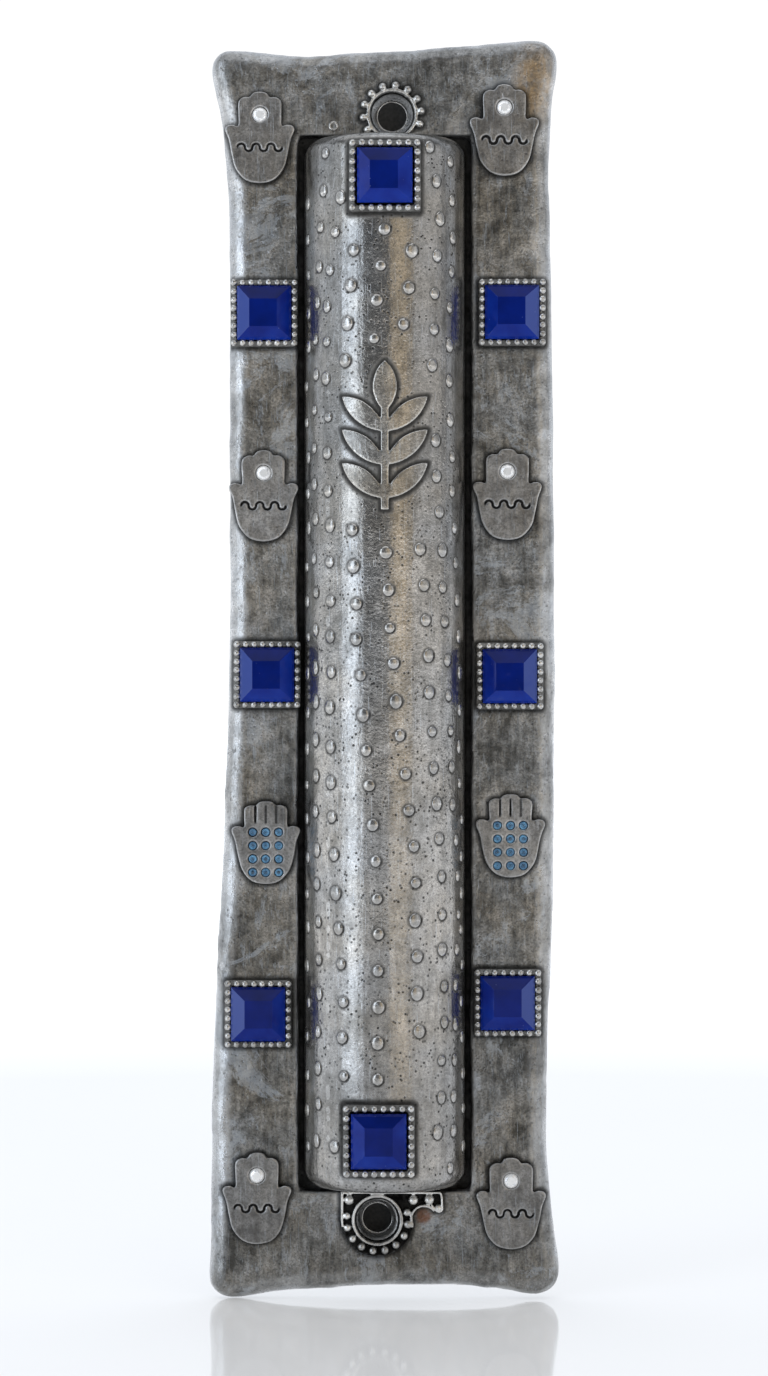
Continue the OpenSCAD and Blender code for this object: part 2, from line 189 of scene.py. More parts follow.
def pewter(name, dark, mid, light, rough=(0.34, 0.58), pits=0.03, scratches=0.02, dents=0.08, edge=0.6,
           warm=0.5, specks=0.3, patina=0.0):
    """Cast pewter, blackened and then rubbed back: dark in its hollows, bright on its edges. Marks on the mesh
    add dirt with painted shade, and rubbed wear with painted highlight.
    """
    look = Look(name)
    mottle = look.noise(8, 9, 0.68, distortion=0.5)
    patch = look.noise(1.5, 6, 0.65)
    streak = look.noise(0.8, 5, 0.65, stretch=(1, 1, 6), turn=(0, 3, 0))
    grain = look.noise(0.3, 5, 0.72)
    tone = look.maths("ADD", look.maths("MULTIPLY", mottle, 0.42), look.maths("MULTIPLY", patch, 0.3))
    tone = look.maths("ADD", tone, look.maths("MULTIPLY", streak, 0.28))
    colour = look.ramp(tone, (0.41, dark), (0.5, mid), (0.59, light))
    tint = look.maths("MULTIPLY", look.ramp(look.noise(11, 4), (0.42, 0.0), (0.6, 1.0)), warm)
    colour = look.mix(tint, colour, look.mix(1.0, colour, (1.12, 0.97, 0.76), "MULTIPLY"))
    colour = look.mix(look.ramp(grain, (0.38, 0.6), (0.55, 0.0)), colour, tuple(c * 0.7 for c in dark))
    cool = tuple(c * t for c, t in zip(light, (1.12, 1.2, 1.3)))
    if patina:
        scab = look.ramp(look.noise(14, 12, 0.78, distortion=0.9), (0.55, 0.0), (0.57, 1.0))
        lick = look.ramp(look.noise(2.2, 8, 0.75, stretch=(1, 1, 3), turn=(0, -8, 0)), (0.58, 0.0), (0.61, 0.8))
        colour = look.mix(look.maths("MULTIPLY", look.maths("MAXIMUM", scab, lick), patina), colour, cool)
        stain = look.maths("MULTIPLY", look.attribute("tan"), look.ramp(patch, (0.35, 0.3), (0.55, 1.0)))
        colour = look.mix(look.maths("MULTIPLY", stain, 0.75), colour, (0.42, 0.29, 0.15))
        rust = look.maths("MULTIPLY", look.attribute("rust"), look.ramp(patch, (0.3, 0.4), (0.5, 1.0)))
        colour = look.mix(look.maths("MULTIPLY", rust, 0.8), colour, (0.2, 0.085, 0.045))

    lines = look.noise(0.16, 2, 0.5, stretch=(1, 1, 26), turn=(0, 4, 0))
    cross = look.noise(0.18, 2, 0.5, stretch=(1, 1, 20), turn=(0, 63, 0))
    fine = look.maths("MAXIMUM", look.ramp(lines, (0.64, 0.0), (0.7, 1.0)),
                      look.ramp(cross, (0.68, 0.0), (0.73, 1.0)))
    colour = look.mix(look.maths("MULTIPLY", fine, 0.4), colour, cool)

    worn = look.ramp(look.point, (0.505, 0.0), (0.56, 1.0))
    worn = look.maths("MULTIPLY", worn, look.ramp(look.noise(2.4, 3), (0.3, 0.35), (0.6, 1.0)))
    # Rubbed wear with a painted highlight, from the mesh's rub mark, brightens the metal.
    rubbed = look.maths("MULTIPLY", look.attribute("rub_and_highlight"), look.ramp(mottle, (0.35, 0.4), (0.6, 1.0)))
    worn = look.maths("MAXIMUM", worn, rubbed)
    hollow = look.ramp(look.point, (0.43, 1.0), (0.492, 0.0))
    bright = tuple(min(1.0, c * 1.45) for c in light)
    soot_and_shade = tuple(c * 0.12 for c in dark)
    colour = look.mix(look.maths("MULTIPLY", worn, edge), colour, bright)
    colour = look.mix(look.maths("MULTIPLY", hollow, 0.85), colour, soot_and_shade)
    # Dirt with painted shade, from the mesh's grime mark, darkens the metal towards soot.
    dirt_and_shade = look.maths("MULTIPLY", look.attribute("grime_and_shade"), look.ramp(patch, (0.25, 0.7), (0.6, 1.0)))
    colour = look.mix(dirt_and_shade, colour, soot_and_shade)

    cluster = look.ramp(look.noise(3.4, 4, 0.6), (0.4, 0.3), (0.58, 1.0))
    pinholes = look.maths("MULTIPLY", look.ramp(look.cells(0.72), (0.15, 1.0), (0.28, 0.0)), cluster)
    colour = look.mix(look.maths("MULTIPLY", pinholes, specks), colour, soot_and_shade)

    shine = look.ramp(look.noise(1.1, 5, 0.65), (0.3, rough[0]), (0.68, rough[1]))
    shine = look.mix(look.maths("MULTIPLY", worn, 0.7), shine, (rough[0] * 0.8,) * 3)
    shine = look.mix(hollow, shine, (0.8, 0.8, 0.8))
    shine = look.mix(look.attribute("grime_and_shade"), shine, (0.75, 0.75, 0.75))

    texture = look.maths("SUBTRACT", look.noise(0.45, 4, 0.6), look.maths("MULTIPLY", pinholes, 0.6))
    normal = look.bump(texture, pits)
    normal = look.bump(look.maths("SUBTRACT", 1.0, fine), scratches, normal)
    normal = look.bump(look.noise(2.6, 4, 0.55), dents, normal)
    return look.shade(base_color=colour, roughness=shine, metallic=0.92, normal=normal)


def brushed(name, colour, direction):
    """Rolled sheet, brushed along one axis, with a few deeper scratches and finger marks."""
    look = Look(name)
    stretch = [0.12, 0.12, 0.12]
    stretch[direction] = 30
    grain = look.noise(1, 4, 0.7, stretch=tuple(stretch))
    smear = look.noise(11, 4, 0.6, distortion=1.2)
    pale = tuple(min(1.0, c * 1.18) for c in colour)
    deep = tuple(c * 0.72 for c in colour)
    base = look.mix(look.ramp(grain, (0.35, 0.0), (0.65, 1.0)), deep, pale)
    base = look.mix(look.ramp(smear, (0.52, 0.0), (0.7, 0.45)), base, deep)
    nick = look.ramp(look.noise(0.16, 2, 0.5, stretch=(1, 1, 60), turn=(0, 24, 0)), (0.71, 0.0), (0.74, 1.0))
    base = look.mix(look.maths("MULTIPLY", nick, 0.5), base, pale)
    shine = look.ramp(look.maths("ADD", look.maths("MULTIPLY", grain, 0.6), look.maths("MULTIPLY", smear, 0.4)),
                      (0.35, 0.26), (0.65, 0.46))
    normal = look.bump(grain, 0.012)
    return look.shade(base_color=base, roughness=shine, metallic=1.0, normal=normal)


def glass_stone(name, deep, vivid):
    """Dark blue glass. The facet attribute is painted light: how brightly each facet is painted, in place of
    the light it would give back from inside.
    """
    look = Look(name)
    cloud = look.noise(3.2, 3, 0.5)
    inner = look.maths("ADD", look.attribute("facet"),
                       look.maths("MULTIPLY", look.maths("SUBTRACT", cloud, 0.5), 0.5), clamp=True)
    colour = look.ramp(inner, (0.0, deep), (0.5, vivid), (0.7, (0.006, 0.035, 0.34)),
                       (1.0, (0.06, 0.095, 0.34)))
    speck = look.ramp(look.cells(1.3), (0.02, 1.0), (0.05, 0.0))
    colour = look.mix(look.maths("MULTIPLY", speck, 0.35), colour, (0.4, 0.5, 0.9))
    dust = look.ramp(look.noise(0.5, 4, 0.7), (0.45, 0.03), (0.75, 0.1))
    normal = look.bump(look.noise(2.2, 2), 0.02)
    return look.shade(base_color=colour, roughness=dust, metallic=0.0, ior=1.55, specular_ior_level=0.15,
                      normal=normal)


def crystal_glass(name):
    """A foil-backed crystal: painted white sparkle that differs from facet to facet, and a faint painted glow.
    """
    look = Look(name)
    inner = look.attribute("facet")
    colour = look.ramp(inner, (0.0, (0.5, 0.53, 0.58)), (0.5, (0.86, 0.88, 0.9)), (1.0, (1.0, 1.0, 0.99)))
    colour = look.mix(look.ramp(look.noise(0.35, 3), (0.55, 0.0), (0.75, 0.35)), colour, (0.62, 0.68, 0.78))
    shine = look.ramp(look.noise(0.6, 2), (0.4, 0.04), (0.7, 0.14))
    # The white emission is a faint painted glow.
    return look.shade(base_color=colour, roughness=shine, metallic=0.35, ior=1.6, coat_weight=1.0,
                      coat_roughness=0.03, emission_color=(1.0, 1.0, 1.0), emission_strength=0.12)


def enamel(name, deep, pale):
    """Blue enamel, unevenly filled, with pale bubbles."""
    look = Look(name)
    cloud = look.noise(0.7, 4, 0.6)
    colour = look.mix(look.ramp(cloud, (0.35, 0.0), (0.65, 1.0)), deep, pale)
    colour = look.mix(look.ramp(look.noise(3.1, 2), (0.45, 0.0), (0.65, 0.6)), colour, deep)
    shine = look.ramp(look.noise(0.4, 3), (0.4, 0.12), (0.7, 0.4))
    normal = look.bump(look.noise(0.25, 3), 0.02)
    return look.shade(base_color=colour, roughness=shine, coat_weight=0.5, coat_roughness=0.08, normal=normal)


plate_pewter = pewter("plate_pewter", (0.085, 0.086, 0.084), (0.25, 0.254, 0.252), (0.43, 0.437, 0.445),
                      rough=(0.26, 0.48), pits=0.08, scratches=0.05, dents=0.12, edge=0.85, warm=0.45,
                      patina=0.45)
cover_pewter = pewter("cover_pewter", (0.24, 0.238, 0.232), (0.38, 0.38, 0.377), (0.5, 0.5, 0.5),
                      rough=(0.1, 0.19), pits=0.035, scratches=0.006, dents=0.01, edge=0.4, warm=0.3,
                      specks=1.0)
granule_pewter = pewter("granule_pewter", (0.28, 0.278, 0.27), (0.44, 0.438, 0.43), (0.58, 0.58, 0.58),
                        rough=(0.16, 0.28), pits=0.02, scratches=0.006, dents=0.02, edge=0.4, warm=0.3)
sprig_pewter = pewter("sprig_pewter", (0.22, 0.215, 0.205), (0.42, 0.415, 0.4), (0.58, 0.575, 0.56),
                      rough=(0.18, 0.32), pits=0.03, scratches=0.01, dents=0.03, edge=0.8, warm=0.4)
collar_pewter = pewter("collar_pewter", (0.03, 0.029, 0.028), (0.26, 0.26, 0.255), (0.6, 0.6, 0.59),
                       rough=(0.26, 0.45), pits=0.03, scratches=0.01, edge=1.0, warm=0.2)
cup_pewter = pewter("cup_pewter", (0.02, 0.019, 0.018), (0.07, 0.068, 0.066), (0.2, 0.2, 0.195),
                    rough=(0.32, 0.6), pits=0.03, scratches=0.01, edge=0.5, warm=0.2)
bead_pewter = pewter("bead_pewter", (0.22, 0.218, 0.212), (0.5, 0.5, 0.495), (0.75, 0.75, 0.745),
                     rough=(0.22, 0.4), pits=0.03, scratches=0.01, dents=0.05, edge=0.3, warm=0.2)
charm_pewter = pewter("charm_pewter", (0.16, 0.159, 0.157), (0.29, 0.29, 0.289), (0.42, 0.422, 0.425),
                      rough=(0.3, 0.46), pits=0.03, scratches=0.03, edge=1.0, warm=0.2)
door_steel = brushed("door_steel", (0.5, 0.5, 0.49), 2)
rail_steel = brushed("rail_steel", (0.42, 0.42, 0.415), 2)
rivet_brass = brushed("rivet_brass", (0.5, 0.38, 0.18), 0)
blue_stone = glass_stone("blue_stone", (0.001, 0.005, 0.05), (0.002, 0.016, 0.22))
clear_crystal = crystal_glass("clear_crystal")
blue_enamel = enamel("blue_enamel", (0.02, 0.09, 0.2), (0.16, 0.42, 0.68))
enamel_eye = enamel("enamel_eye", (0.01, 0.03, 0.06), (0.05, 0.15, 0.26))


# ---------------------------------------------------------------- pieces


def piece(name, mesh, material, body, nodes=(), smooth=True):
    obj = bpy.data.objects.new(name, mesh)
    bpy.context.scene.collection.objects.link(obj)
    mesh.materials.clear()
    mesh.materials.append(material)
    mesh.polygons.foreach_set("use_smooth", [smooth] * len(mesh.polygons))
    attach(obj, body)
    if nodes:
        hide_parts(*nodes)
    return obj


def finished(name, bm):
    mesh = bpy.data.meshes.new(name)
    bmesh.ops.recalc_face_normals(bm, faces=bm.faces)
    bm.to_mesh(mesh)
    bm.free()
    return mesh


def recast(name, bm, voxel, smoothing=3):
    """One skin over everything in bm, softened as a casting is: a voxel remesh, smoothed."""
    mesh = finished(name + "_core", bm)
    obj = bpy.data.objects.new(name + "_core", mesh)
    bpy.context.scene.collection.objects.link(obj)
    skin = obj.modifiers.new("skin", "REMESH")
    skin.mode = "VOXEL"
    skin.voxel_size = voxel * MM
    soft = obj.modifiers.new("soft", "SMOOTH")
    soft.factor = 0.5
    soft.iterations = smoothing
    scene_now = bpy.context.evaluated_depsgraph_get()
    cast = bpy.data.meshes.new_from_object(obj.evaluated_get(scene_now))
    cast.name = name
    bpy.data.objects.remove(obj)
    bpy.data.meshes.remove(mesh)
    return cast


def from_node(node):
    bm = bmesh.new()
    bm.from_mesh(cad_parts[node].data)
    bmesh.ops.remove_doubles(bm, verts=bm.verts, dist=1e-7)
    return bm


def worked(mesh, low, high, amount, keep=lambda p: 1.0):
    """Moves each vertex along its normal by that many millimetres of uneven surface, held in the box."""
    normals = [v.normal.copy() for v in mesh.vertices]
    for v, n in zip(mesh.vertices, normals):
        p = v.co / MM
        swell = noise.noise(p / 7.0) * amount[0] + noise.noise(p / 2.1 + Vector((9, 4, 2))) * amount[1]
        v.co += n * swell * MM * keep(p)
        for axis in range(3):
            v.co[axis] = min(max(v.co[axis], low[axis]), high[axis])


def mark(mesh, name, value):
    """Stores a number from 0 to 1 at each vertex, such as how dirty or how rubbed it is."""
    data = mesh.attributes.new(name, "FLOAT", "POINT").data
    data.foreach_set("value", [value(v) for v in mesh.vertices])


def tree_of(points):
    """A search tree over points in millimetres, seen from the front."""
    found = list(points)
    tree = KDTree(len(found))
    for i, p in enumerate(found):
        tree.insert((p.x, 0, p.z), i)
    tree.balance()
    return tree


def outline_points(prefixes, spacing=0.25):
    """Points along the edges of the nodes whose names start so."""
    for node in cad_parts:
        if node.startswith(prefixes):
            bm = from_node(node)
            for edge in bm.edges:
                a, b = edge.verts[0].co / MM, edge.verts[1].co / MM
                for i in range(int((a - b).length / spacing) + 1):
                    yield a.lerp(b, i * spacing / max((a - b).length, spacing))
            bm.free()


def distance(tree, p):
    return tree.find((p.x, 0, p.z))[2]


# The plate.
plate_low, plate_high = corners("back_plate")
plate_front = plate_low.y / MM
shell_low, shell_high = corners("cover_shell")
shell_r = -shell_low.y / MM + plate_front
near_trims = tree_of(outline_points(("setting_left", "setting_right", "charm_", "screw_collar")))


# The screw holes are in metres. The rest is in millimetres: neither painted shade nor dirt is laid within
# HOLE_CLEAR of a hole, the plate's outline is read at RIM_LEVEL above the wall, and the spots are the middles
# of two stains.
HOLES = [Vector((0.001, 0, 0.0744)), Vector((-0.001, 0, -0.0744))]
HOLE_CLEAR = 3.4
RIM_LEVEL = 1.4
TAN_SPOT = (20.5, 79)
RUST_SPOT = (5.2, -73.9)
rim = tree_of(p for p in outline_points(("back_plate",)) if abs(p.y + RIM_LEVEL) < 0.03)


def plate_rub_and_highlight(v):
    """Where the plate is painted bright: its steep parts, and a band along its sides, more on the left. Part
    rubbed wear, part painted highlight where the lamps catch its bevels.
    """
    p = v.co / MM
    steep = smoothstep(0.1, 0.55, 1 - abs(v.normal.y))
    side = (0.9 if p.x < 0 else 0.6) * (1 - 0.6 * smoothstep(72, 79, abs(p.z)))
    band = side * (1 - smoothstep(1.9, 2.7, distance(rim, p) + 0.5 * noise.noise(p / 3.0)))
    return max(steep, band) * smoothstep(0.5, 1.5, -p.y)


def plate_grime_and_shade(p):
    """Painted shade, with dirt in the joins, round whatever is soldered to the plate, and along the window."""
    hole_reach = min(math.hypot(p.x - c.x / MM, p.z - c.z / MM) for c in HOLES)
    if p.y > plate_front + 1.6 or hole_reach < HOLE_CLEAR:
        return 0.0
    dirt_and_shade = 0.85 * (1 - smoothstep(0.05, 0.75, distance(near_trims, p)))
    if shell_low.z / MM < p.z < shell_high.z / MM and abs(p.x) < shell_r + 4:
        dirt_and_shade = max(dirt_and_shade, 1 - smoothstep(0.75, 1.0, abs(p.x) - shell_r))
    return dirt_and_shade


def spot_of(v, spot, inner, outer, squeeze=1.0):
    """A stain on the plate, full within inner and gone beyond outer. A squeeze below 1 makes it taller."""
    reach = math.hypot(v.co.x / MM - spot[0], (v.co.z / MM - spot[1]) * squeeze)
    return 1 - smoothstep(inner, outer, reach)


plate = recast("plate_skin", from_node("back_plate"), VOXEL["plate"], 3)
worked(plate, plate_low, plate_high, (0.3, 0.1), lambda p: smoothstep(-0.9, -2.2, p.y))
# The plate's marks: dirt with painted shade round its trims, and rubbed wear with painted highlight along its
# sides.
mark(plate, "grime_and_shade", lambda v: plate_grime_and_shade(v.co / MM))
mark(plate, "rub_and_highlight", plate_rub_and_highlight)
mark(plate, "tan", lambda v: spot_of(v, TAN_SPOT, 1.0, 4.5, 0.6))
mark(plate, "rust", lambda v: spot_of(v, RUST_SPOT, 0.7, 1.3))
piece("plate_skin", plate, plate_pewter, "case", ["back_plate"])


# The cover, with granules in wandering columns. Each column is a line of (x, z) turns, in millimetres.
COLUMNS = [
    [(-10.3, 62), (-10.35, -66)],
    [(-8, 68), (-8.8, 55), (-9.3, 45), (-9.3, -16), (-8.8, -42), (-8.8, -51), (-9.2, -66)],
    [(-5.5, 67.2), (-5.7, 63), (-6.8, 57), (-7.7, 48), (-7.7, 38), (-7.2, 12), (-7.2, -16), (-6.6, -31),
     (-5.6, -41), (-5.5, -55), (-7, -66)],
    [(-4.1, 55.2), (-5.4, 40)],
    [(-4.2, 18.1), (-3.6, 2), (-1.4, -22), (-0.8, -36), (-0.9, -56)],
    [(-0.2, 57.9), (-1.5, 43)],
    [(0, 15), (1.5, -4), (2.75, -15), (4.1, -27), (4.2, -42), (4.6, -52)],
    [(3.6, 54.8), (2.1, 40.5)],
    [(4.7, 15.8), (5.7, 2), (6.7, -15), (7.5, -28), (8, -46), (7.3, -60), (6.8, -66)],
    [(5.8, 69), (7.5, 61.6), (6.3, 42), (6.3, 36), (6.8, 27), (8, 8), (9.1, -17), (9.8, -31), (9.4, -56),
     (8.8, -67)],
    [(8.6, 67), (9.2, 60), (8.6, 44), (9.1, 22), (9.9, 3), (10.3, -30), (10.35, -66)],
]
PITCH = 4.85
DOME_HEIGHT = 0.27
# A granule keeps this far from a trim, unless the cover faces so far sideways that no trim is near.
GRANULE_CLEAR, GRANULE_SIDE = 1.0, -0.75
near_cover_trims = tree_of(outline_points(("setting_cover", "cover_ornament")))


def column_x(column, height):
    for (x0, z0), (x1, z1) in zip(column, column[1:]):
        if z1 <= height <= z0:
            return x0 + (x1 - x0) * (z0 - height) / (z0 - z1)
    return column[-1][0]


def granule_places():
    """Each granule's middle on the cover, its outward direction, width and height, in millimetres."""
    rng = random.Random(11)
    for column in COLUMNS:
        height = column[0][1]
        while height >= column[-1][1]:
            z = height + rng.uniform(-0.25, 0.25)
            angle = math.asin((column_x(column, height) + rng.uniform(-0.15, 0.15)) / shell_r)
            height -= PITCH
            out = Vector((math.sin(angle), -math.cos(angle), 0))
            centre = out * shell_r + Vector((0, plate_front, z))
            width = rng.uniform(1.3, 1.65)
            tall = width * rng.uniform(1.0, 1.25)
            if out.y > GRANULE_SIDE or distance(near_cover_trims, centre) > GRANULE_CLEAR:
                yield centre, out, width, tall


def granule_matrix(centre, out, width, tall):
    basis = Matrix((Vector((-out.y, out.x, 0)), out, Vector((0, 0, 1)))).transposed().to_4x4()
    size = Matrix.Diagonal((width / 2, DOME_HEIGHT, tall / 2, 1))
    return Matrix.Translation(centre * MM) @ basis @ size @ Matrix.Scale(MM, 4)


granules = list(granule_places())
granule_tree = KDTree(len(granules))
for number, (centre, out, width, tall) in enumerate(granules):
    granule_tree.insert(centre, number)
granule_tree.balance()


def cover_shade_and_grime(p):
    """Painted shade in the gap beside the cover and round its trims, and a fine painted shadow round each
    granule, heavier on its lower right.
    """
    dirt_and_shade = smoothstep(plate_front - 0.7, plate_front + 0.1, p.y)
    if math.hypot(p.x, p.y - plate_front) < shell_r - 0.5:
        return dirt_and_shade
    if p.y < plate_front - shell_r + 3.4:
        dirt_and_shade = max(dirt_and_shade, 0.9 * (1 - smoothstep(0.15, 0.9, distance(near_cover_trims, p))))
    spot, number, reach = granule_tree.find(p)
    size = (granules[number][2] + granules[number][3]) / 4
    # A painted shadow round each granule, darker on its lower right side.
    shaded = 0.55 + 0.4 * smoothstep(-0.3, 0.6, (p.x - spot.x) - (p.z - spot.z))
    return max(dirt_and_shade, shaded * (1 - smoothstep(0.06, 0.26, abs(reach - size - 0.06))))


shell = recast("cover_skin", from_node("cover_shell"), VOXEL["cover"], 2)
worked(shell, shell_low, shell_high, (0.06, 0.02),
       lambda p: smoothstep(plate_front + 0.5, plate_front - 0.5, p.y))
mark(shell, "grime_and_shade", lambda v: cover_shade_and_grime(v.co / MM))
piece("cover_skin", shell, cover_pewter, "case", ["cover_shell"])

domes = bmesh.new()
for centre, out, width, tall in granules:
    bmesh.ops.create_icosphere(domes, subdivisions=3, radius=1,
                               matrix=granule_matrix(centre, out, width, tall))
piece("cover_granules", finished("cover_granules", domes), granule_pewter, "case")

# Smaller castings: the sprig, the collars and the charms.
sprig_low, sprig_high = corners("cover_ornament")
sprig = recast("sprig_skin", from_node("cover_ornament"), VOXEL["sprig"], 2)
worked(sprig, sprig_low, sprig_high, (0.02, 0.03))
piece("sprig_skin", sprig, sprig_pewter, "case", ["cover_ornament"])

for end in ["top", "bottom"]:
    node = "screw_collar_" + end
    low, high = corners(node)
    collar = recast(node + "_skin", from_node(node), VOXEL["collar"], 2)
    worked(collar, low, high, (0.02, 0.06))
    # Painted shade on the collar's deep parts near the plate, and rubbed wear with painted highlight on its
    # front-most parts.
    mark(collar, "grime_and_shade", lambda v: smoothstep(plate_front - 0.62, plate_front - 0.42, v.co.y / MM))
    mark(collar, "rub_and_highlight", lambda v: smoothstep(plate_front - 0.7, plate_front - 0.85, v.co.y / MM))
    piece(node + "_skin", collar, collar_pewter, "case", [node])

# What is engraved on a charm: on a plain one, half rings that turn up and down below its crystal; on a
# dotted one, the lines between its fingers, above its enamel.
BAND_DROP, BAND_RADIUS, BAND_ARCHES = 4.4, 0.5, 6
GROOVES, GROOVE_FOOT, GROOVE_TOP = (-1.4, 0, 1.4), 0.7, 2.9


def band_points(crystal):
    for arch in range(BAND_ARCHES):
        x = crystal.x / MM + (arch - (BAND_ARCHES - 1) / 2) * 2 * BAND_RADIUS
        for i in range(13):
            turn = math.pi * i / 12 * (1 if arch % 2 == 0 else -1)
            yield Vector((x + BAND_RADIUS * math.cos(turn), 0,
                          crystal.z / MM - BAND_DROP + BAND_RADIUS * math.sin(turn)))


def groove_points(node):
    low, high = corners(node)
    for across in GROOVES:
        for i in range(12):
            up = GROOVE_FOOT + (GROOVE_TOP - GROOVE_FOOT) * i / 11
            yield Vector(((low.x + high.x) / 2 / MM + across, 0, high.z / MM + up))


for name in PLAIN_CHARMS + DOTTED_CHARMS:
    node = "charm_" + name
    low, high = corners(node)
    charm = recast(node + "_skin", from_node(node), VOXEL["charm"], 2)
    worked(charm, low, high, (0.05, 0.06), lambda p: smoothstep(plate_front, plate_front - 0.5, p.y))
    foot = plate_front - 0.3
    if name in PLAIN_CHARMS:
        engraved = tree_of(band_points(middle("crystal_" + name)))
    else:
        engraved = tree_of(groove_points("enamel_" + name))
    # The engraved lines are blackened, and the charm's foot, where it meets the plate, gets painted shade.
    mark(charm, "grime_and_shade", lambda v: max(0.9 - 0.9 * smoothstep(0.1, 0.22, distance(engraved, v.co / MM)),
                                       smoothstep(foot - 0.3, foot, v.co.y / MM)))
    piece(node + "_skin", charm, charm_pewter, "case", [node])


# Stones and settings. Beads are counted along a side with both its corners.
BEADS_ALONG = 8


def square_ring(bm, centre, half, level, corner, steps=4):
    """A rounded square of vertices, facing out of the wall at that level."""
    ring = []
    for quarter in range(4):
        for i in range(steps + 1):
            turn = math.pi / 2 * (quarter + i / steps)
            pivot = math.pi / 2 * (quarter + 0.5)
            x = (half - corner) * math.copysign(1, math.cos(pivot)) + corner * math.cos(turn)
            z = (half - corner) * math.copysign(1, math.sin(pivot)) + corner * math.sin(turn)
            ring.append(bm.verts.new((centre.x + x * MM, centre.y - level * MM, centre.z + z * MM)))
    return ring


def join_rings(bm, rings):
    faces = []
    for a, b in zip(rings, rings[1:]):
        for i in range(len(a)):
            j = (i + 1) % len(a)
            faces.append(bm.faces.new((a[i], a[j], b[j], b[i])))
    return faces


def setting_mesh(name, seed):
    """A cup with a rolled lip, and ribs up its outside that end in beads."""
    low, high = corners("setting_" + name)
    crest = name in CRESTS
    half = (high.x - low.x) / 2 / MM
    foot_y = plate_front * MM if not crest else (plate_front - shell_r) * MM
    centre = Vector(((low.x + high.x) / 2, foot_y, (low.z + high.z) / 2))
    wall = -(low.y - foot_y) / MM - 0.4
    rng = random.Random(seed)
    bm = bmesh.new()
    foot = -1.35 if crest else 0.0
    profile = [(half - 0.03, foot), (half - 0.02, wall - 0.95), (half - 0.12, wall - 0.75),
               (half - 0.5, wall - 0.72), (half - 0.62, wall - 0.35), (half - 0.84, wall - 0.35),
               (half - 0.88, 0.6), (0.6, 0.55)]
    rings = [square_ring(bm, centre, h, level, min(0.45, h * 0.4)) for h, level in profile]
    join_rings(bm, rings)
    bm.faces.new(reversed(rings[0]))
    bm.faces.new(rings[-1])
    cup = finished("setting_" + name + "_cup", bm)
    bm = bmesh.new()
    reach = half - 0.5
    for side in range(4):
        for i in range(BEADS_ALONG - 1):
            along = (i / (BEADS_ALONG - 1) - 0.5) * 2 * reach + rng.uniform(-0.04, 0.04)
            spot = Vector((reach + rng.uniform(-0.03, 0.01), 0, along))
            spot = Matrix.Rotation(side * math.pi / 2, 3, "Y") @ spot
            r = rng.uniform(0.43, 0.48)
            top = wall + rng.uniform(-0.12, -0.03)
            squash = Matrix.Diagonal((r, r * rng.uniform(0.8, 0.88), r, 1))
            bead = (Matrix.Translation(centre + Vector((spot.x, -top, spot.z)) * MM)
                    @ squash @ Matrix.Scale(MM, 4))
            bmesh.ops.create_icosphere(bm, subdivisions=3, radius=1, matrix=bead)
            tall = top - foot
            rib = (Matrix.Translation(centre + Vector((spot.x, -(foot + tall / 2), spot.z)) * MM)
                   @ Matrix.Rotation(math.pi / 2, 4, "X"))
            bmesh.ops.create_cone(bm, cap_ends=True, segments=14, radius1=r * 0.94 * MM, radius2=r * 0.8 * MM,
                                  depth=tall * MM, matrix=rib)
    return cup, finished("setting_" + name + "_beads", bm)


def stone_mesh(name, seed):
    """A step-cut square: girdle, thin bevel, main facets with mitred corners, and a table."""
    low, high = corners("stone_" + name)
    centre = Vector(((low.x + high.x) / 2, high.y, (low.z + high.z) / 2))
    width = (high.x - low.x) / 2 / MM
    tall = (high.y - low.y) / MM
    rng = random.Random(seed)
    bm = bmesh.new()
    shift = Vector((rng.uniform(-0.12, 0.12), 0, rng.uniform(-0.12, 0.12)))
    steps = [(0.6, 0.02), (0.985, 0.27), (0.985, 0.44), (0.9, 0.62), (0.5, 0.995)]
    rings = []
    for number, (share, level) in enumerate(steps):
        slip = shift if number == len(steps) - 1 else Vector()
        rings.append([
            bm.verts.new(centre + (Vector((sx * share * width, -level * tall, sz * share * width)) + slip) * MM)
            for sx, sz in [(1, 1), (-1, 1), (-1, -1), (1, -1)]
        ])
    faces = join_rings(bm, rings)
    faces.append(bm.faces.new(reversed(rings[0])))
    faces.append(bm.faces.new(rings[-1]))
    bmesh.ops.recalc_face_normals(bm, faces=bm.faces)
    # Painted light: each facet's brightness is set by which way it faces, lighter facing out to the stone's
    # side and downwards.
    shade = bm.faces.layers.float.new("facet")
    outward = {"left": -1, "right": 1}.get(name.split("_")[0], 0)
    for face in bm.faces:
        n = face.normal
        slope = math.hypot(n.x, n.z)
        if slope < 0.1:
            face[shade] = 0.34
        elif n.y < -0.05:
            lit = 0.5 * max(0, n.x * outward) + 0.15 * abs(n.x) - 0.16 * n.z
            face[shade] = 0.42 + lit / slope + rng.uniform(-0.06, 0.06)
        else:
            face[shade] = 0.1
    mesh = bpy.data.meshes.new("stone_" + name + "_cut")
    bm.to_mesh(mesh)
    bm.free()
    return mesh


for seed, name in enumerate(SIDES + CRESTS):
    cup, beads = setting_mesh(name, 100 + seed)
    piece("setting_" + name + "_cup", cup, cup_pewter, "case", ["setting_" + name])
    piece("setting_" + name + "_beads", beads, bead_pewter, "case")
    stone = stone_mesh(name, 200 + seed)
    cut_stone = piece("stone_" + name + "_cut", stone, blue_stone, "case", ["stone_" + name], smooth=False)
    fine_edge = cut_stone.modifiers.new("fine_edge", "BEVEL")
    fine_edge.width = 0.05 * MM
    fine_edge.segments = 2


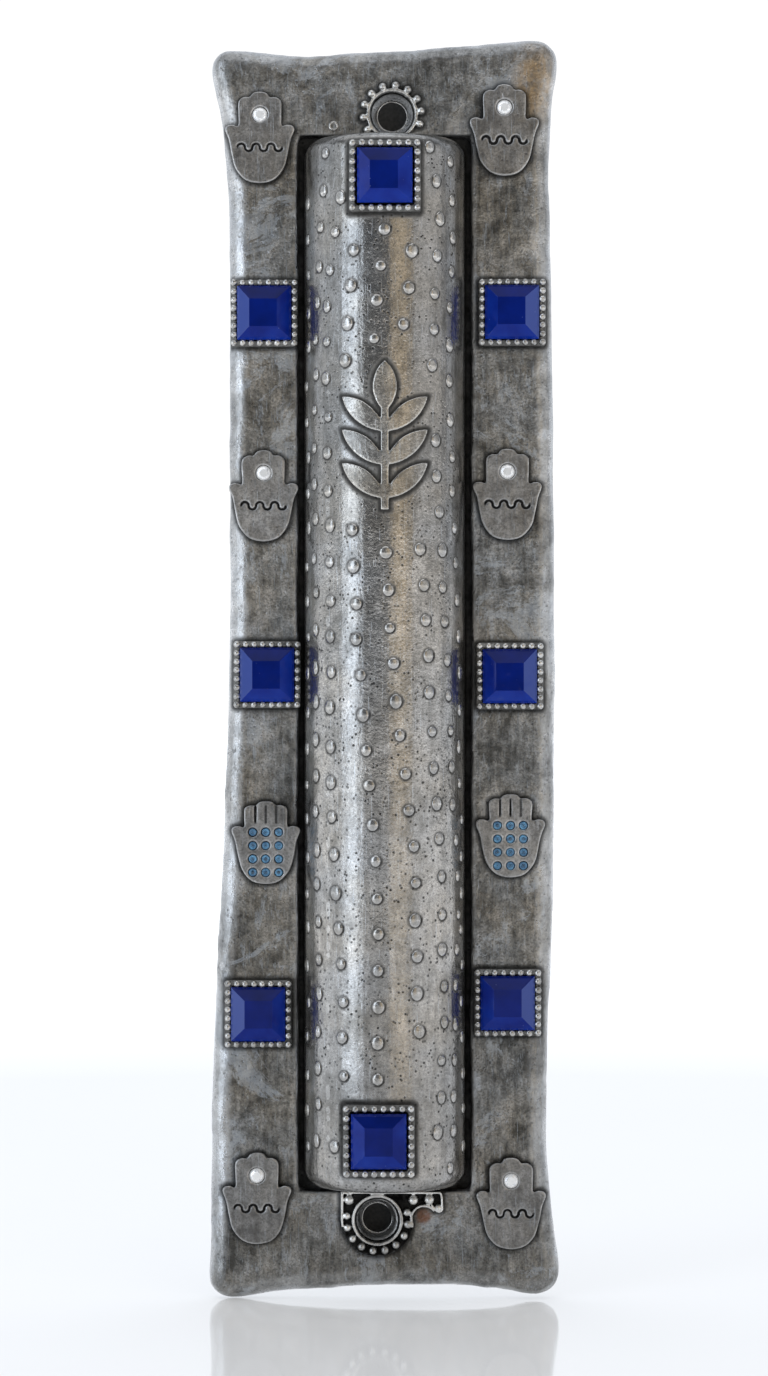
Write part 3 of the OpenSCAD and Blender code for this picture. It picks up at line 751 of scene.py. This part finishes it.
# Crystals: round brilliants with eight main facets.
def crystal_mesh(name):
    low, high = corners("crystal_" + name)
    centre = Vector(((low.x + high.x) / 2, high.y, (low.z + high.z) / 2))
    r = (high.x - low.x) / 2
    tall = high.y - low.y
    rng = random.Random(name)
    bm = bmesh.new()
    sides = 16
    rings = []
    for share, level, turn in [(0.98, 0.02, 0), (0.98, 0.5, 0), (0.78, 0.8, 0.5), (0.5, 0.98, 0)]:
        rings.append([
            bm.verts.new(centre + Vector((
                math.cos(2 * math.pi * (i + turn) / sides) * share * r, -level * tall,
                math.sin(2 * math.pi * (i + turn) / sides) * share * r)))
            for i in range(sides)
        ])
    for a, b in zip(rings, rings[1:]):
        for i in range(sides):
            j = (i + 1) % sides
            bm.faces.new((a[i], a[j], b[i]))
            bm.faces.new((a[j], b[j], b[i]))
    bm.faces.new(reversed(rings[0]))
    bm.faces.new(rings[-1])
    bmesh.ops.recalc_face_normals(bm, faces=bm.faces)
    # Painted sparkle: each small facet gets a random brightness, each large one a bright one.
    shade = bm.faces.layers.float.new("facet")
    for face in bm.faces:
        face[shade] = rng.uniform(0.2, 1.0) if face.calc_area() < r * r * 0.4 else 0.85
    mesh = bpy.data.meshes.new("crystal_" + name + "_cut")
    bm.to_mesh(mesh)
    bm.free()
    return mesh


for name in PLAIN_CHARMS:
    piece("crystal_" + name + "_cut", crystal_mesh(name), clear_crystal, "case",
          ["crystal_" + name], smooth=False)


# Enamel: a rounded ring with a dark pupil in each dot.
def enamel_spots(name):
    """The middles of the dots in a charm, found from the CAD's rings."""
    bm = from_node("enamel_" + name)
    spots = []
    left = set(bm.verts)
    while left:
        group = [left.pop()]
        for v in group:
            for e in v.link_edges:
                other = e.other_vert(v)
                if other in left:
                    left.remove(other)
                    group.append(other)
        middle_x = (min(v.co.x for v in group) + max(v.co.x for v in group)) / 2
        middle_z = (min(v.co.z for v in group) + max(v.co.z for v in group)) / 2
        spots.append(Vector((middle_x, min(v.co.y for v in group), middle_z)))
    bm.free()
    return sorted(spots, key=lambda s: (s.z, s.x))


def torus(bm, centre, ring, tube, flat, turns=28, around=10):
    verts = []
    for i in range(turns):
        a = 2 * math.pi * i / turns
        verts.append([
            bm.verts.new(centre + Vector((
                math.cos(a) * (ring + tube * math.cos(2 * math.pi * j / around)),
                -flat * math.sin(2 * math.pi * j / around),
                math.sin(a) * (ring + tube * math.cos(2 * math.pi * j / around)))))
            for j in range(around)
        ])
    for i in range(turns):
        for j in range(around):
            a, b = verts[i], verts[(i + 1) % turns]
            k = (j + 1) % around
            bm.faces.new((a[j], a[k], b[k], b[j]))


for name in DOTTED_CHARMS:
    rng = random.Random(name)
    rings = bmesh.new()
    eyes = bmesh.new()
    low, high = corners("enamel_" + name)
    for spot in enamel_spots(name):
        centre = Vector((spot.x, low.y + 0.14 * MM, spot.z))
        size = rng.uniform(0.88, 1.0)
        torus(rings, centre, 0.4 * size * MM, 0.17 * MM, 0.12 * MM)
        eye = Matrix.Translation(centre) @ Matrix.Diagonal((0.3, 0.08, 0.3, 1)) @ Matrix.Scale(MM, 4)
        bmesh.ops.create_icosphere(eyes, subdivisions=3, radius=1, matrix=eye)
        if rng.random() < 0.75:
            torus(rings, centre, 0.15 * MM, 0.06 * MM, 0.1 * MM, 16, 8)
    piece("enamel_" + name + "_rings", finished("enamel_rings", rings), blue_enamel, "case", ["enamel_" + name])
    piece("enamel_" + name + "_eyes", finished("enamel_eyes", eyes), enamel_eye, "case")

# A bright worn edge where each screw hole's slope meets its bore, and a curl of solder by the top one.
HOLE_EDGE = Vector((0, -0.00215, 0))
SOLDER_CURL = Vector((-0.0069, plate_front * MM, 0.0729))
edges = bmesh.new()
for hole in HOLES:
    torus(edges, hole + HOLE_EDGE, 2.04 * MM, 0.1 * MM, 0.1 * MM, 48)
torus(edges, SOLDER_CURL, 0.5 * MM, 0.2 * MM, 0.22 * MM, 20)
piece("hole_edges", finished("hole_edges", edges), bead_pewter, "case")

# The working parts behind keep their CAD shape, with their sharp edges broken.
for node, material in [("guide_rail_left", rail_steel), ("guide_rail_right", rail_steel),
                       ("rail_rivets", rivet_brass), ("back_door", door_steel)]:
    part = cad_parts[node]
    part.data.materials.clear()
    part.data.materials.append(material)
    broken = part.modifiers.new("broken_edges", "BEVEL")
    broken.width = 0.08 * MM
    broken.segments = 2
    broken.limit_method = "ANGLE"
    broken.angle_limit = math.radians(50)


# ---------------------------------------------------------------- stage, light and camera


def floor_material():
    """White, a little glossy, and brighter further out, so that it meets the white room unseen."""
    look = Look("pale_floor")
    cloud = look.noise(240, 3)
    colour = look.ramp(cloud, (0.3, (0.86, 0.86, 0.86)), (0.7, (0.9, 0.9, 0.9)))
    reach = look.add("ShaderNodeVectorMath", operation="LENGTH")
    look.link(look.place, reach.inputs[0])
    glow = look.ramp(reach.outputs["Value"], (0.3, 0.2), (0.9, 0.9))
    return look.shade(base_color=colour, roughness=0.07, emission_color=(1.0, 1.0, 1.0), emission_strength=glow)


def stage_sheet(name, points, material):
    mesh = bpy.data.meshes.new(name)
    mesh.from_pydata(points, [], [tuple(range(len(points)))])
    mesh.materials.append(material)
    obj = bpy.data.objects.new(name, mesh)
    bpy.context.scene.collection.objects.link(obj)
    obj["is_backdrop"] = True


# The radius of the dark discs that paint shade behind the screw holes, their distance behind the plate's back,
# both in metres, and their corners.
CARD_RADIUS, CARD_GAP, CARD_SIDES = 0.0026, 0.0003, 32


def stage():
    """A wide floor, and a small dark disc behind each screw hole: painted shade, seen through the hole."""
    reach, level = 6.0, cad_low[2]
    stage_sheet("floor", [(-reach, -reach, level), (reach, -reach, level), (reach, reach, level),
                          (-reach, reach, level)], floor_material())
    # The discs are dark card that stands in for the shade seen through the holes.
    look = Look("painted_shade_card")
    shade_card_colour = look.ramp(look.noise(0.4, 3), (0.3, (0.03, 0.03, 0.03)), (0.7, (0.06, 0.06, 0.058)))
    card = look.shade(base_color=shade_card_colour, roughness=0.8)
    for name, hole in zip(["upper_card", "lower_shade_card"], HOLES):
        turns = [2 * math.pi * i / CARD_SIDES for i in range(CARD_SIDES)]
        stage_sheet(name, [(hole.x + CARD_RADIUS * math.cos(a), CARD_GAP, hole.z + CARD_RADIUS * math.sin(a))
                           for a in turns], card)


def panel(name, azimuth, elevation, distance, width, height, strength, colour):
    """A soft light that faces the object. Azimuth is measured from the camera, towards +X."""
    light = bpy.data.lights.new(name, "AREA")
    light.shape = "RECTANGLE"
    light.size = width
    light.size_y = height
    light.energy = strength * math.pi * width * height
    light.color = colour
    obj = bpy.data.objects.new(name, light)
    a, e = math.radians(azimuth), math.radians(elevation)
    obj.location = distance * Vector((math.sin(a) * math.cos(e), -math.cos(a) * math.cos(e), math.sin(e)))
    obj.rotation_euler = (-obj.location).to_track_quat("-Z", "Y").to_euler()
    obj.visible_camera = False
    bpy.context.scene.collection.objects.link(obj)


stage()
panel("key_left", -48, 4, 1.0, 0.44, 1.3, 2.1, (0.84, 0.93, 1.04))
panel("side_left", -84, 5, 1.0, 0.78, 1.3, 0.6, (0.9, 0.95, 1.0))
panel("tan_front", 22, 3, 1.0, 0.5, 1.2, 0.58, (1.0, 0.79, 0.5))
panel("fill_right", 66, 5, 1.0, 0.95, 1.2, 0.56, (1.0, 0.98, 0.96))
panel("overhead", 0, 76, 1.0, 1.2, 1.0, 1.0, (0.97, 0.98, 1.0))

# The room is bright behind the object and dim in front of it, where its reflections come from. The camera
# itself sees plain white.
world = bpy.data.worlds.new("pale_room")
world.use_nodes = True
nodes, links = world.node_tree.nodes, world.node_tree.links
room = nodes["Background"]
room.inputs["Color"].default_value = (0.8, 0.84, 0.9, 1)
heading = nodes.new("ShaderNodeSeparateXYZ")
links.new(nodes.new("ShaderNodeTexCoord").outputs["Generated"], heading.inputs["Vector"])
behind = nodes.new("ShaderNodeMapRange")
for socket, value in [("From Min", 0.05), ("From Max", 0.5), ("To Min", 0.17), ("To Max", 1.1)]:
    behind.inputs[socket].default_value = value
links.new(heading.outputs["Y"], behind.inputs["Value"])
links.new(behind.outputs["Result"], room.inputs["Strength"])
seen = nodes.new("ShaderNodeBackground")
seen.inputs["Color"].default_value = (1, 1, 1, 1)
seen.inputs["Strength"].default_value = 1.05
ray = nodes.new("ShaderNodeLightPath")
choose = nodes.new("ShaderNodeMixShader")
links.new(ray.outputs["Is Camera Ray"], choose.inputs["Fac"])
links.new(room.outputs["Background"], choose.inputs[1])
links.new(seen.outputs["Background"], choose.inputs[2])
links.new(choose.outputs["Shader"], nodes["World Output"].inputs["Surface"])
bpy.context.scene.world = world
bpy.context.scene.view_settings.view_transform = "Standard"

# The photograph was taken from straight in front, a little below the middle, from half a metre.
camera = bpy.data.cameras.new("camera")
camera.lens = 97.1
camera.sensor_width = 36
camera_obj = bpy.data.objects.new("camera", camera)
camera_obj.location = (-0.0001, plate_front * MM - 0.5, -0.0028)
camera_obj.rotation_euler = (math.pi / 2, 0, 0)
bpy.context.scene.collection.objects.link(camera_obj)
bpy.context.scene.camera = camera_obj

low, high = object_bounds()
{"cad": [list(cad_low), list(cad_high)], "visual": [list(low), list(high)]}
